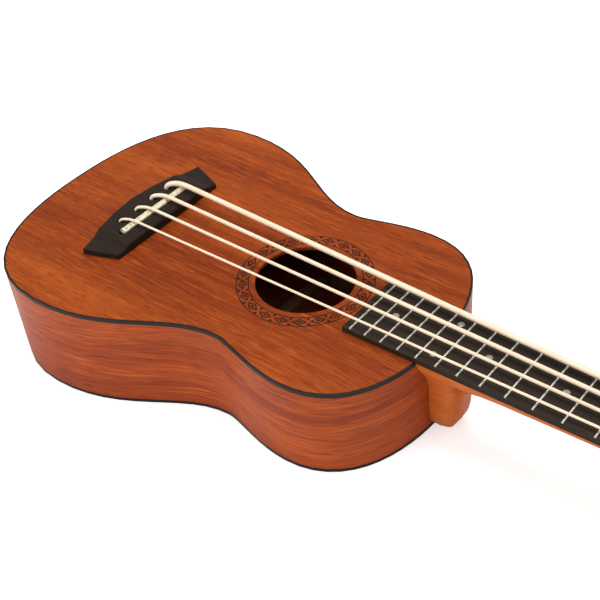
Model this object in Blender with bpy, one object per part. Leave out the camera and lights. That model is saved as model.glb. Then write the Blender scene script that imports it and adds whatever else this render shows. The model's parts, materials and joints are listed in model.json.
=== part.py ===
"""Bass ukulele: hollow body, bolted-on bridge, fretted neck, four soft strings and four worm-gear tuners.

The drawing frame lies on the soundboard: X runs along the strings towards the headstock and is 0 at the
fret where neck and body meet, Y points to the thick-string side, Z points out of the soundboard.
The body is deeper at the tail, so at the end the whole drawing is tipped until its back lies flat at Z = 0.
"""
import math

import bmesh
import bpy
from mathutils import Euler, Matrix, Vector

MM = 0.001

# Fits
GAP = 0.3 * MM                      # between pieces that touch
RUNNING_GAP = 0.3 * MM              # round a shaft, on the radius
STRING_GAP = 0.3 * MM               # between a string and what it bears on

# Scale and frets
SCALE_LENGTH = 514.35 * MM
FRET_COUNT = 16
BODY_FRET = 12                      # the fret over the joint of neck and body
SEMITONES = 12

# Body outline, half of it, from the tail round to the neck
TAIL_X = -363.0 * MM
LOWER_BOUT_X = -272.0 * MM
LOWER_BOUT_HALF = 130.0 * MM
WAIST_X = -130.0 * MM
WAIST_HALF = 83.0 * MM
UPPER_BOUT_X = -66.0 * MM
UPPER_BOUT_HALF = 95.0 * MM
FRONT_X = 3.0 * MM
TAIL_FULLNESS = 32.0 * MM           # lengths of the curve handles at those points
LOWER_REAR_FULLNESS = 90.0 * MM
LOWER_FRONT_FULLNESS = 71.0 * MM
WAIST_REAR_FULLNESS = 45.0 * MM
WAIST_FRONT_FULLNESS = 11.0 * MM
UPPER_REAR_FULLNESS = 27.0 * MM
UPPER_FRONT_FULLNESS = 60.0 * MM
FRONT_FULLNESS = 32.0 * MM
OUTLINE_STEPS = (14, 12, 9, 14)      # points on each of the four curves of a half
DEPTH_NECK = 76.0 * MM              # soundboard face to back face at X = 0
DEPTH_TAIL = 90.5 * MM              # the same at the tail

# Body walls
TOP_THICK = 2.5 * MM
BACK_THICK = 2.5 * MM
SIDE_THICK = 2.5 * MM
BINDING_WIDTH = 1.3 * MM
TOP_BINDING_HIGH = 2.7 * MM
BACK_BINDING_HIGH = 2.7 * MM
LINING_WIDE = 6.0 * MM
LINING_HIGH = 10.0 * MM
NECK_BLOCK_LONG = 24.0 * MM
NECK_BLOCK_HALF = 32.0 * MM
TAIL_BLOCK_LONG = 15.0 * MM
TAIL_BLOCK_HALF = 36.0 * MM
BACK_CENTRE_X = -180.0 * MM         # the point of the back that is the part's origin

# Sound hole and braces
HOLE_X = -115.0 * MM
HOLE_RADIUS = 37.6 * MM
HOLE_SIDES = 48
BRACE_WIDE = 8.0 * MM
TOP_BRACE_HIGH = 11.0 * MM
BACK_BRACE_WIDE = 12.0 * MM
BACK_BRACE_HIGH = 8.0 * MM
BRACE_END_HIGH = 4.0 * MM
BRACE_SCALLOP = 26.0 * MM           # length over which a brace end tapers
BRACE_FROM_HOLE = 11.0 * MM         # hole's edge to the middle of a top brace
BACK_BRACE_UPPER_X = -78.0 * MM
BACK_BRACE_LOWER_X = -165.0 * MM

# Bridge
BRIDGE_SHIFT = -5.0 * MM            # the bridge sits off the centre line, towards the thin strings
BRIDGE_FRONT_X = -249.5 * MM
BRIDGE_TIP_X = -278.5 * MM
BRIDGE_BACK_X = -292.0 * MM
BRIDGE_FRONT_HALF = 56.0 * MM
BRIDGE_TIP_HALF = 66.0 * MM
BRIDGE_BACK_CURVE = 1.5             # power of the back edge's curve
BRIDGE_BODY_HALF = 43.0 * MM        # half length of the thick middle
BRIDGE_RAMP = 7.0 * MM
BRIDGE_TOP_Z = 7.5 * MM
BRIDGE_WING_Z = 5.0 * MM
SADDLE_X = -264.5 * MM
SADDLE_WIDE = 5.6 * MM
SADDLE_HALF = 35.3 * MM
SADDLE_SLOT_HALF = 39.0 * MM
SADDLE_SLOT_Z = 3.2 * MM            # floor of the slot
PICKUP_THICK = 1.8 * MM
PICKUP_WIDE = 3.4 * MM
LEAD_RADIUS = 1.1 * MM
LEAD_HOLE_RADIUS = 2.0 * MM
BRIDGE_PLATE_HALF = 34.0 * MM
BRIDGE_PLATE_THICK = 3.0 * MM
BRIDGE_PLATE_FRONT = 12.0 * MM      # from the string holes
BRIDGE_PLATE_REAR = 12.0 * MM
STRING_HOLE_X = -278.0 * MM
STRING_HOLE_PITCH = 18.0 * MM
STRING_HOLE_SPARE = 0.5 * MM        # hole radius over string radius
STRING_HOLE_SLOPE = 2.6 * MM        # the bridge hole is this much longer towards the saddle

# Output jack in the tail block
JACK_RADIUS = 6.0 * MM
JACK_FLANGE_RADIUS = 9.0 * MM
JACK_WAIST_RADIUS = 6.6 * MM
JACK_PROUD = 9.0 * MM
JACK_FLANGE_THICK = 2.2 * MM
JACK_INSIDE = 12.0 * MM
JACK_BORE = 3.2 * MM
JACK_BORE_DEEP = 22.0 * MM
JACK_Z = -45.0 * MM

# Fretboard
BOARD_END_X = -59.0 * MM
BOARD_TOP_Z = 4.0 * MM
BOARD_HALF_AT_JOINT = 28.4 * MM
BOARD_HALF_AT_NUT = 22.0 * MM
FRET_WIDE = 1.7 * MM
FRET_HIGH = 1.0 * MM
FRET_TANG_WIDE = 0.5 * MM
FRET_TANG_DEEP = 1.5 * MM
FRET_INSET = 0.7 * MM               # fret end to the board's edge
FRET_END_BEVEL = 0.8 * MM
FRET_SLOT_SPARE = 0.3 * MM

# Nut
NUT_THICK = 5.0 * MM
NUT_TOP_Z = 7.6 * MM

# Neck: depth below its flat top at stations along X
NECK_JOINT_OVERLAP = 7.0 * MM       # wood before the joint, trimmed to the body
SHAFT_POWER = 1.8
HEEL_POWER = 7.0
HEEL_BLEND = 4.0
FLARE_POWER = 1.25                  # the heel's flanks sweep out to the board's edges
FLARE_DEPTH = 34.0 * MM
HEEL_DEPTH = 72.0 * MM
HEEL_HALF = 15.3 * MM
SHAFT_DEPTH_HEEL = 22.0 * MM
SHAFT_DEPTH_NUT = 12.0 * MM
SECTION_DEPTHS = (0.0, 0.07, 0.15, 0.24, 0.32, 0.45, 0.7, 0.92, 0.985, 1.0)

# Headstock
HEAD_START_X = 263.5 * MM
HEAD_TILT = math.radians(11.0)
HEAD_LONG = 145.0 * MM
HEAD_THICK = 15.0 * MM
HEAD_HALF = 34.0 * MM
HEAD_END_HALF = 27.0 * MM

# Strings, thick to thin
STRING_NAMES = ("string_1_thick", "string_2", "string_3", "string_4_thin")
STRING_RADII = (2.2 * MM, 1.65 * MM, 1.3 * MM, 1.0 * MM)
STRING_PITCH_SADDLE = 18.6 * MM
STRING_PITCH_NUT = 10.5 * MM
STRING_BOTTOM_SADDLE = 10.0 * MM
STRING_BOTTOM_NUT = 6.0 * MM
STRING_SIDES = 6
LOOP_POINTS = 24
WRAP_TURNS = (1.55, 1.8, 1.8, 2.3)
WRAP_SPACE = 0.6 * MM               # between neighbouring turns
KNOT_LONG = 6.0 * MM
KNOT_RADIUS_SPARE = 1.6 * MM        # knot radius over the string hole's radius

# Tuners, in the headstock's own frame: x along it, y outward, z out of its face
TUNER_POSTS = ((45.0 * MM, 1), (100.0 * MM, 1), (100.0 * MM, -1), (45.0 * MM, -1))
POST_Y = 23.0 * MM
POST_RADIUS = 5.0 * MM
POST_WAIST_RADIUS = 4.3 * MM
POST_CAP_RADIUS = 5.6 * MM
WAIST_LOW_Z = 6.0 * MM
WAIST_HIGH_Z = 19.4 * MM
POST_TOP_Z = 22.5 * MM
BARREL_WALL = 2.2 * MM
BARREL_TOP_Z = 3.6 * MM
BUSHING_FLATS = 9.4 * MM            # half across flats
BUSHING_HIGH = 4.4 * MM
BUSHING_FLANGE_RADIUS = 11.0 * MM
BUSHING_FLANGE_HIGH = 1.4 * MM
PLATE_THICK = 1.6 * MM
PLATE_REAR = 11.0 * MM
PLATE_FRONT = 15.5 * MM
PLATE_HALF = 9.6 * MM
WHEEL_TEETH = 14
WHEEL_ROOT = 5.6 * MM
WHEEL_TIP = 6.7 * MM
WHEEL_THICK = 3.0 * MM
WHEEL_TOOTH_ROOT = 1.15 * MM        # tooth width at its root and at its tip
WHEEL_TOOTH_TIP = 0.65 * MM
WORM_ROOT = 2.4 * MM
WORM_TIP = 3.6 * MM
WORM_CLEAR = 0.3 * MM               # worm tip to wheel root, and worm root to wheel tip
WORM_THREAD_ROOT = 1.2 * MM         # thread width at its root and at its tip
WORM_THREAD_TIP = 0.6 * MM
WORM_TURNS = 3
WORM_STEPS = 12                     # facets per turn
WORM_UNDER_PLATE = 0.4 * MM
SHAFT_RADIUS = 2.0 * MM
COLLAR_RADIUS = 3.1 * MM
COLLAR_LONG = 1.0 * MM
LUG_THICK = 2.4 * MM
LUG_HALF = 3.9 * MM
LUG_INNER_Y = 6.6 * MM
BUTTON_START_Y = 17.5 * MM
BUTTON_LONG = 18.0 * MM
BUTTON_HALF_WIDE = 12.0 * MM
BUTTON_HALF_THICK = 4.2 * MM
POST_SCREW_RADIUS = 3.4 * MM
POST_SCREW_HIGH = 1.6 * MM

for old_object in list(bpy.data.objects):
    bpy.data.objects.remove(old_object, do_unlink=True)


def fret_x(number):
    """Distance of a fret from the joint; the nut is fret 0."""
    return SCALE_LENGTH * (2 ** (-number / SEMITONES) - 2 ** (-BODY_FRET / SEMITONES))


def body_depth(x):
    """Depth of the body, square to the soundboard."""
    return DEPTH_NECK + (DEPTH_TAIL - DEPTH_NECK) * x / TAIL_X


def board_half(x):
    """Half width of the fretboard."""
    return BOARD_HALF_AT_JOINT + (BOARD_HALF_AT_NUT - BOARD_HALF_AT_JOINT) * x / fret_x(0)


NUT_X = fret_x(0)
TAPER_ANGLE = math.atan((DEPTH_TAIL - DEPTH_NECK) / -TAIL_X)
JACK_SEAT_X = TAIL_X
WHEEL_PITCH_RADIUS = (WHEEL_ROOT + WHEEL_TIP) / 2
WORM_PITCH = 2 * math.pi * WHEEL_PITCH_RADIUS / WHEEL_TEETH
WORM_OFFSET = WHEEL_ROOT + WORM_CLEAR + WORM_TIP
PLATE_TOP_Z = -HEAD_THICK - GAP
PLATE_LOW_Z = PLATE_TOP_Z - PLATE_THICK
WORM_Z = PLATE_LOW_Z - WORM_UNDER_PLATE - WORM_TIP
BORE_RADIUS = POST_RADIUS + RUNNING_GAP
BARREL_RADIUS = BORE_RADIUS + BARREL_WALL
LUG_LOW_Z = WORM_Z - LUG_HALF
SADDLE_TOP_Z = STRING_BOTTOM_SADDLE - STRING_GAP


def material(name, colour, roughness, metallic=0.0):
    """A plain finish for one kind of piece."""
    made = bpy.data.materials.new(name)
    made.use_nodes = True
    shader = made.node_tree.nodes["Principled BSDF"]
    shader.inputs["Base Color"].default_value = (*colour, 1.0)
    shader.inputs["Roughness"].default_value = roughness
    shader.inputs["Metallic"].default_value = metallic
    made.diffuse_color = (*colour, 1.0)
    return made


FINISHES = {
    "top_wood": material("top_wood", (0.33, 0.085, 0.025), 0.45),
    "side_wood": material("side_wood", (0.27, 0.07, 0.03), 0.4),
    "neck_wood": material("neck_wood", (0.42, 0.14, 0.04), 0.4),
    "inner_wood": material("inner_wood", (0.5, 0.33, 0.18), 0.7),
    "black_wood": material("black_wood", (0.02, 0.015, 0.012), 0.5),
    "binding": material("binding", (0.012, 0.012, 0.012), 0.35),
    "bone": material("bone", (0.75, 0.68, 0.48), 0.45),
    "string": material("string", (0.85, 0.74, 0.6), 0.5),
    "fret_metal": material("fret_metal", (0.75, 0.72, 0.66), 0.3, 1.0),
    "tuner_metal": material("tuner_metal", (0.72, 0.72, 0.74), 0.2, 1.0),
    "pickup": material("pickup", (0.3, 0.3, 0.3), 0.5),
}


def empty(name, parent=None, location=(0, 0, 0), rotation=(0, 0, 0)):
    """A frame that pieces hang on."""
    made = bpy.data.objects.new(name, None)
    made.parent = parent
    made.location = location
    made.rotation_euler = rotation
    bpy.context.collection.objects.link(made)
    return made


INSTRUMENT = empty("instrument")
HEAD_FRAME = empty("head_frame", INSTRUMENT, (HEAD_START_X, 0, 0), (0, HEAD_TILT, 0))


def piece(name, shape, finish, parent=INSTRUMENT, location=(0, 0, 0), smooth_angle=40.0):
    """A named object from a bmesh; round pieces are shaded smooth up to an angle."""
    bmesh.ops.recalc_face_normals(shape, faces=shape.faces)
    mesh = bpy.data.meshes.new(name)
    shape.to_mesh(mesh)
    shape.free()
    mesh.shade_smooth()
    mesh.set_sharp_from_angle(angle=math.radians(smooth_angle))
    mesh.materials.append(FINISHES[finish])
    made = bpy.data.objects.new(name, mesh)
    made.parent = parent
    made.location = location
    bpy.context.collection.objects.link(made)
    return made


def cutter(name, shape, parent=INSTRUMENT, location=(0, 0, 0)):
    """A solid that only cuts or joins others."""
    made = piece(name, shape, "binding", parent, location)
    made.hide_render = True
    made.display_type = "WIRE"
    return made


def combine(target, tool, operation="DIFFERENCE"):
    """A live Boolean of one object on another."""
    step = target.modifiers.new(tool.name, "BOOLEAN")
    step.operation = operation
    step.object = tool


def loft(rings, closed=False):
    """Skin a row of rings with equal point counts; a closed row has no end caps."""
    shape = bmesh.new()
    rows = [[shape.verts.new(point) for point in ring] for ring in rings]
    pairs = list(zip(rows, rows[1:]))
    if closed:
        pairs.append((rows[-1], rows[0]))
    for first, second in pairs:
        for index in range(len(first)):
            after = (index + 1) % len(first)
            shape.faces.new((first[index], first[after], second[after], second[index]))
    if not closed:
        shape.faces.new(rows[0])
        shape.faces.new(list(reversed(rows[-1])))
    return shape


def prism(points, low, high):
    """A flat outline with a bottom and a top height, each a number or a function of x."""
    def level(value, x):
        return value(x) if callable(value) else value
    bottom = [(x, y, level(low, x)) for x, y in points]
    top = [(x, y, level(high, x)) for x, y in points]
    return loft([bottom, top])


def box(low, high):
    """A box between two corners."""
    points = ((low[0], low[1]), (high[0], low[1]), (high[0], high[1]), (low[0], high[1]))
    return prism(points, low[2], high[2])


def circle(radius, sides, centre=(0.0, 0.0), start=0.0):
    """Points of a regular polygon."""
    angles = [start + 2 * math.pi * step / sides for step in range(sides)]
    return [(centre[0] + radius * math.cos(a), centre[1] + radius * math.sin(a)) for a in angles]


def turned(profile, sides, axis="Z"):
    """A lathe shape: profile is (distance along the axis, radius) from one end to the other."""
    rings = []
    for along, radius in profile:
        ring = circle(radius, sides)
        if axis == "Z":
            rings.append([(a, b, along) for a, b in ring])
        elif axis == "Y":
            rings.append([(b, along, a) for a, b in ring])
        else:
            rings.append([(along, a, b) for a, b in ring])
    return loft(rings)


def curve_points(start, start_handle, end_handle, end, steps):
    """Points of a cubic curve, without its last one."""
    points = []
    for step in range(steps):
        t = step / steps
        a, b, c, d = (1 - t) ** 3, 3 * (1 - t) ** 2 * t, 3 * (1 - t) * t ** 2, t ** 3
        points.append(a * start + b * start_handle + c * end_handle + d * end)
    return points


def half_outline():
    """The thick-string half of the body outline, from tail to front, both on the centre line."""
    along, across = Vector((1, 0)), Vector((0, 1))
    tail = Vector((TAIL_X, 0))
    lower = Vector((LOWER_BOUT_X, LOWER_BOUT_HALF))
    waist = Vector((WAIST_X, WAIST_HALF))
    upper = Vector((UPPER_BOUT_X, UPPER_BOUT_HALF))
    front = Vector((FRONT_X, 0))
    points = curve_points(tail, tail + across * TAIL_FULLNESS,
                          lower - along * LOWER_REAR_FULLNESS, lower, OUTLINE_STEPS[0])
    points += curve_points(lower, lower + along * LOWER_FRONT_FULLNESS,
                           waist - along * WAIST_REAR_FULLNESS, waist, OUTLINE_STEPS[1])
    points += curve_points(waist, waist + along * WAIST_FRONT_FULLNESS,
                           upper - along * UPPER_REAR_FULLNESS, upper, OUTLINE_STEPS[2])
    points += curve_points(upper, upper + along * UPPER_FRONT_FULLNESS,
                           front + across * FRONT_FULLNESS, front, OUTLINE_STEPS[3])
    return points + [front]


HALF_OUTLINE = half_outline()


def inset_half(inset):
    """The half outline moved inward, or outward for a negative inset."""
    moved = []
    last = len(HALF_OUTLINE) - 1
    for index, point in enumerate(HALF_OUTLINE):
        before = HALF_OUTLINE[max(index - 1, 0)]
        after = HALF_OUTLINE[min(index + 1, last)]
        tangent = (after - before).normalized()
        inward = Vector((tangent.y, -tangent.x))
        if index in (0, last):
            inward = Vector((1, 0)) if index == 0 else Vector((-1, 0))
        moved.append(point + inward * inset)
    return moved


def ring_outline(inset):
    """The whole closed outline at an inset."""
    half = inset_half(inset)
    mirrored = [Vector((point.x, -point.y)) for point in reversed(half[1:-1])]
    return [(point.x, point.y) for point in half + mirrored]


def inner_half_width(x, inset):
    """Half width of the body at x, at an inset."""
    half = inset_half(inset)
    for first, second in zip(half, half[1:]):
        if first.x <= x <= second.x:
            share = (x - first.x) / (second.x - first.x)
            return first.y + share * (second.y - first.y)
    raise ValueError("no body at this x")


def clip_half(points, block_limits):
    """Keep the stretch of a half outline that lies between the two end blocks."""
    tail_half, front_half = block_limits
    kept = []
    for first, second in zip(points, points[1:]):
        for limit, at_tail in ((tail_half, True), (front_half, False)):
            in_zone = first.x < WAIST_X if at_tail else first.x > WAIST_X
            if in_zone and (first.y - limit) * (second.y - limit) < 0:
                share = (limit - first.y) / (second.y - first.y)
                kept.append(first + share * (second - first))
        if second.y > (tail_half if second.x < WAIST_X else front_half):
            kept.append(second)
    return kept


def wall_rings(outer, inner, low, high, side):
    """Four-cornered rings along a pair of matching half outlines."""
    rings = []
    for a, b in zip(outer, inner):
        rings.append(((a.x, side * a.y, low(a.x)), (b.x, side * b.y, low(b.x)),
                      (b.x, side * b.y, high(b.x)), (a.x, side * a.y, high(a.x))))
    return rings


def back_plane(x):
    """Height of the back's outer face."""
    return -body_depth(x)


def make_plates():
    """Soundboard and back plate inside their bindings."""
    rim = ring_outline(BINDING_WIDTH + GAP)
    soundboard = piece("soundboard", prism(rim, -TOP_THICK, 0.0), "top_wood")
    mouth = prism(circle(HOLE_RADIUS, HOLE_SIDES, (HOLE_X, 0)), -3 * TOP_THICK, TOP_THICK)
    combine(soundboard, cutter("cut_sound_hole", mouth))
    back = prism(rim, back_plane, lambda x: back_plane(x) + BACK_THICK)
    piece("back_plate", back, "side_wood")
    return soundboard


def make_bindings():
    """Two closed strips round the edges."""
    outer = ring_outline(0.0)
    inner = ring_outline(BINDING_WIDTH)
    for name, low, high in (
            ("top_binding", lambda x: -TOP_BINDING_HIGH, lambda x: 0.0),
            ("back_binding", back_plane, lambda x: back_plane(x) + BACK_BINDING_HIGH)):
        rings = []
        for (ax, ay), (bx, by) in zip(outer, inner):
            rings.append(((ax, ay, low(ax)), (bx, by, low(bx)), (bx, by, high(bx)), (ax, ay, high(ax))))
        piece(name, loft(rings, closed=True), "binding")


def make_sides():
    """Two bent sides that meet on the centre line at the tail and behind the neck."""
    def low(x):
        return back_plane(x) + BACK_BINDING_HIGH + GAP

    def high(x):
        return -TOP_BINDING_HIGH - GAP
    hole = turned([(JACK_SEAT_X - SIDE_THICK, JACK_RADIUS + GAP),
                   (JACK_SEAT_X + 2 * SIDE_THICK, JACK_RADIUS + GAP)],
                  16, "X")
    bmesh.ops.translate(hole, verts=hole.verts, vec=(0, 0, JACK_Z))
    jack_hole = cutter("cut_jack_in_side", hole)
    for name, side in (("side_treble", -1), ("side_bass", 1)):
        outer = [Vector(p) for p in HALF_OUTLINE]
        inner = inset_half(SIDE_THICK)
        for row in (outer, inner):
            row[0] = Vector((row[0].x, GAP / 2))
            row[-1] = Vector((row[-1].x, GAP / 2))
        combine(piece(name, loft(wall_rings(outer, inner, low, high, side)), "side_wood"), jack_hole)


def make_linings():
    """Strips that glue the sides to the plates, from the tail block to the neck block."""
    limits = (TAIL_BLOCK_HALF + GAP, NECK_BLOCK_HALF + GAP)
    outer = clip_half(inset_half(SIDE_THICK + GAP), limits)
    inner = []
    for point, after in zip(outer, outer[1:] + [None]):
        before = outer[outer.index(point) - 1] if outer.index(point) else point
        tangent = ((after or point) - before).normalized()
        inner.append(point + Vector((tangent.y, -tangent.x)) * LINING_WIDE)
    for end, limit in ((0, limits[0]), (-1, limits[1])):
        inner[end] = Vector((inner[end].x, limit))

    def top_high(x):
        return -TOP_THICK - GAP

    def back_low(x):
        return back_plane(x) + BACK_THICK + GAP
    for side, word in ((-1, "treble"), (1, "bass")):
        rings = wall_rings(outer, inner, lambda x: top_high(x) - LINING_HIGH, top_high, side)
        piece("top_lining_" + word, loft(rings), "inner_wood")
        rings = wall_rings(outer, inner, back_low, lambda x: back_low(x) + LINING_HIGH, side)
        piece("back_lining_" + word, loft(rings), "inner_wood")


def make_blocks():
    """Neck block and tail block, trimmed to the inside of the sides."""
    def low(x):
        return back_plane(x) + BACK_THICK + GAP
    high = -TOP_THICK - GAP
    room = prism(ring_outline(SIDE_THICK + GAP), -2 * DEPTH_TAIL, DEPTH_TAIL)
    inside = cutter("keep_inside_sides", room)
    neck_points = ((FRONT_X - SIDE_THICK - NECK_BLOCK_LONG, -NECK_BLOCK_HALF), (FRONT_X, -NECK_BLOCK_HALF),
                   (FRONT_X, NECK_BLOCK_HALF), (FRONT_X - SIDE_THICK - NECK_BLOCK_LONG, NECK_BLOCK_HALF))
    neck_block = piece("neck_block", prism(neck_points, low, high), "inner_wood")
    combine(neck_block, inside, "INTERSECT")
    tail_end = TAIL_X + SIDE_THICK + TAIL_BLOCK_LONG
    tail_points = ((TAIL_X, -TAIL_BLOCK_HALF), (tail_end, -TAIL_BLOCK_HALF),
                   (tail_end, TAIL_BLOCK_HALF), (TAIL_X, TAIL_BLOCK_HALF))
    tail_block = piece("tail_block", prism(tail_points, low, high), "inner_wood")
    combine(tail_block, inside, "INTERSECT")
    hole = turned([(TAIL_X - SIDE_THICK, JACK_RADIUS + GAP),
                   (tail_end + SIDE_THICK, JACK_RADIUS + GAP)], 16, "X")
    bmesh.ops.translate(hole, verts=hole.verts, vec=(0, 0, JACK_Z))
    combine(tail_block, cutter("cut_jack_in_block", hole))


def brace(name, x, wide, base, direction, high):
    """A bar across the body with scalloped ends; direction is 1 up from the back, -1 down from the top."""
    reach = min(inner_half_width(x - wide / 2, SIDE_THICK + LINING_WIDE + 2 * GAP),
                inner_half_width(x + wide / 2, SIDE_THICK + LINING_WIDE + 2 * GAP)) - GAP
    rings = []
    for y, height in ((-reach, BRACE_END_HIGH), (-reach + BRACE_SCALLOP, high),
                      (reach - BRACE_SCALLOP, high), (reach, BRACE_END_HIGH)):
        ring = []
        for dx, level, share in ((-0.5, 0, 1), (0.5, 0, 1), (0.5, 1, 1),
                                 (0.2, 1, 1), (-0.2, 1, 1), (-0.5, 1, 1)):
            rise = height * (0.75 if abs(dx) == 0.5 else share) * level
            ring.append((x + dx * wide, y, base(x + dx * wide) + direction * rise))
        rings.append(ring)
    piece(name, loft(rings), "inner_wood")


def make_braces():
    """Two braces under the soundboard and two on the back."""
    def under_top(x):
        return -TOP_THICK - GAP

    def on_back(x):
        return back_plane(x) + BACK_THICK + GAP
    for name, sign in (("top_brace_upper", 1), ("top_brace_lower", -1)):
        brace(name, HOLE_X + sign * (HOLE_RADIUS + BRACE_FROM_HOLE), BRACE_WIDE,
              under_top, -1, TOP_BRACE_HIGH)
    for name, x in (("back_brace_upper", BACK_BRACE_UPPER_X), ("back_brace_lower", BACK_BRACE_LOWER_X)):
        brace(name, x, BACK_BRACE_WIDE, on_back, 1, BACK_BRACE_HIGH)


def string_hole_y(index):
    """Where a string goes down into the bridge."""
    return BRIDGE_SHIFT + (1.5 - index) * STRING_HOLE_PITCH


def slot_points(x, y, radius, longer):
    """A hole with round ends, longer towards +x."""
    points = []
    for step in range(5):
        angle = math.pi / 2 + math.pi * step / 4
        points.append((x + radius * math.cos(angle), y + radius * math.sin(angle)))
    for step in range(5):
        angle = -math.pi / 2 + math.pi * step / 4
        points.append((x + longer + radius * math.cos(angle), y + radius * math.sin(angle)))
    return points


def make_bridge(soundboard):
    """Bridge with thick middle and low wings, its plate, and the string and lead holes."""
    stations = [-BRIDGE_TIP_HALF, -BRIDGE_FRONT_HALF, -BRIDGE_BODY_HALF - BRIDGE_RAMP, -BRIDGE_BODY_HALF]
    stations += [-BRIDGE_BODY_HALF / 2, 0.0]
    stations += [-y for y in reversed(stations[:-1])]
    rings = []
    for y in stations:
        reach = abs(y) / BRIDGE_TIP_HALF
        back_x = BRIDGE_BACK_X + (BRIDGE_TIP_X - BRIDGE_BACK_X) * reach ** BRIDGE_BACK_CURVE
        past_front = max(0.0, abs(y) - BRIDGE_FRONT_HALF) / (BRIDGE_TIP_HALF - BRIDGE_FRONT_HALF)
        front_x = BRIDGE_FRONT_X + (BRIDGE_TIP_X - BRIDGE_FRONT_X) * 0.96 * past_front
        top = BRIDGE_TOP_Z if abs(y) <= BRIDGE_BODY_HALF else BRIDGE_WING_Z
        ease = min(1.0 * MM, (front_x - back_x) / 4)
        rings.append(((back_x, y, GAP), (front_x, y, GAP), (front_x, y, top - ease),
                      (front_x - ease, y, top), (back_x + ease, y, top), (back_x, y, top - ease)))
    bridge = piece("bridge", loft(rings), "black_wood", location=(0, BRIDGE_SHIFT, 0), smooth_angle=25.0)
    slot = slot_points(0, 0, SADDLE_WIDE / 2 + GAP, 2 * (SADDLE_SLOT_HALF - SADDLE_WIDE / 2 - GAP))
    along_y = [(SADDLE_X - b, BRIDGE_SHIFT - SADDLE_SLOT_HALF + SADDLE_WIDE / 2 + GAP + a) for a, b in slot]
    combine(bridge, cutter("cut_saddle_slot", prism(along_y, SADDLE_SLOT_Z, 2 * BRIDGE_TOP_Z)))
    plate_low = -TOP_THICK - GAP - BRIDGE_PLATE_THICK
    plate = box((STRING_HOLE_X - BRIDGE_PLATE_REAR, BRIDGE_SHIFT - BRIDGE_PLATE_HALF, plate_low),
                (STRING_HOLE_X + BRIDGE_PLATE_FRONT, BRIDGE_SHIFT + BRIDGE_PLATE_HALF, -TOP_THICK - GAP))
    bridge_plate = piece("bridge_plate", plate, "inner_wood")
    lead_hole = prism(circle(LEAD_HOLE_RADIUS, 12, (SADDLE_X, lead_y())), 4 * plate_low, 2 * BRIDGE_TOP_Z)
    lead_cutter = cutter("cut_lead_hole", lead_hole)
    combine(bridge, lead_cutter)
    combine(soundboard, lead_cutter)
    for index, radius in enumerate(STRING_RADII):
        y = string_hole_y(index)
        wide = radius + STRING_HOLE_SPARE
        upper = prism(slot_points(STRING_HOLE_X, y, wide, STRING_HOLE_SLOPE),
                      BRIDGE_WING_Z / 2, 2 * BRIDGE_TOP_Z)
        combine(bridge, cutter("cut_string_slot_%d" % (index + 1), upper))
        lower = cutter("cut_string_hole_%d" % (index + 1),
                       prism(circle(wide, 10, (STRING_HOLE_X, y)), 4 * plate_low, BRIDGE_WING_Z))
        for wood in (bridge, soundboard, bridge_plate):
            combine(wood, lower)


def lead_y():
    """The pickup lead goes down at the thin-string end of the saddle slot."""
    return BRIDGE_SHIFT - SADDLE_SLOT_HALF + SADDLE_WIDE / 2 + GAP


def make_saddle():
    """Bone saddle with a rounded crown."""
    low = SADDLE_SLOT_Z + GAP + PICKUP_THICK + GAP
    half = SADDLE_WIDE / 2
    profile = [(-half, low), (half, low),
               (half, SADDLE_TOP_Z - 1.2 * MM), (half * 0.55, SADDLE_TOP_Z - 0.3 * MM),
               (0, SADDLE_TOP_Z), (-half * 0.55, SADDLE_TOP_Z - 0.3 * MM), (-half, SADDLE_TOP_Z - 1.2 * MM)]
    rings = [[(SADDLE_X + x, BRIDGE_SHIFT + y, z) for x, z in profile] for y in (-SADDLE_HALF, SADDLE_HALF)]
    piece("saddle", loft(rings), "bone")


def smooth_path(points, rounds=2):
    """Corner cutting: each pass replaces a corner by two points near it."""
    path = [Vector(p) for p in points]
    for _ in range(rounds):
        cut = [path[0]]
        for first, second in zip(path, path[1:]):
            cut.append(first.lerp(second, 0.25))
            cut.append(first.lerp(second, 0.75))
        cut.append(path[-1])
        path = cut
    return path


def tube(path, radii, sides):
    """A round tube along a path, its rings carried along without twist."""
    tangents = []
    for index in range(len(path)):
        before = path[max(index - 1, 0)]
        after = path[min(index + 1, len(path) - 1)]
        tangents.append((after - before).normalized())
    side = tangents[0].orthogonal().normalized()
    rings = []
    for point, tangent, radius in zip(path, tangents, radii):
        side = (side - tangent * side.dot(tangent)).normalized()
        other = tangent.cross(side)
        rings.append([point + radius * (math.cos(a) * side + math.sin(a) * other)
                      for a in (2 * math.pi * step / sides for step in range(sides))])
    return loft(rings)


def make_pickup():
    """Flat strip under the saddle with its lead down into the body and back to the jack."""
    low = SADDLE_SLOT_Z + GAP
    half = PICKUP_WIDE / 2
    strip = box((SADDLE_X - half, BRIDGE_SHIFT - SADDLE_HALF, low),
                (SADDLE_X + half, BRIDGE_SHIFT + SADDLE_HALF, low + PICKUP_THICK))
    pickup = piece("saddle_pickup", strip, "pickup")
    middle = low + PICKUP_THICK / 2
    inside = JACK_SEAT_X + SIDE_THICK + TAIL_BLOCK_LONG + JACK_INSIDE + GAP
    route = [(SADDLE_X, lead_y() + 5 * MM, middle), (SADDLE_X, lead_y(), middle),
             (SADDLE_X, lead_y(), -8 * MM),
             (SADDLE_X, lead_y(), -24 * MM), (SADDLE_X - 14 * MM, lead_y() + 2 * MM, -30 * MM),
             (inside + 26 * MM, -10 * MM, JACK_Z), (inside + 8 * MM, 0, JACK_Z), (inside, 0, JACK_Z)]
    path = smooth_path(route)
    radii = [LEAD_RADIUS * 0.7] * 3 + [LEAD_RADIUS] * (len(path) - 3)
    combine(pickup, cutter("join_lead", tube(path, radii, 8)), "UNION")


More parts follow.
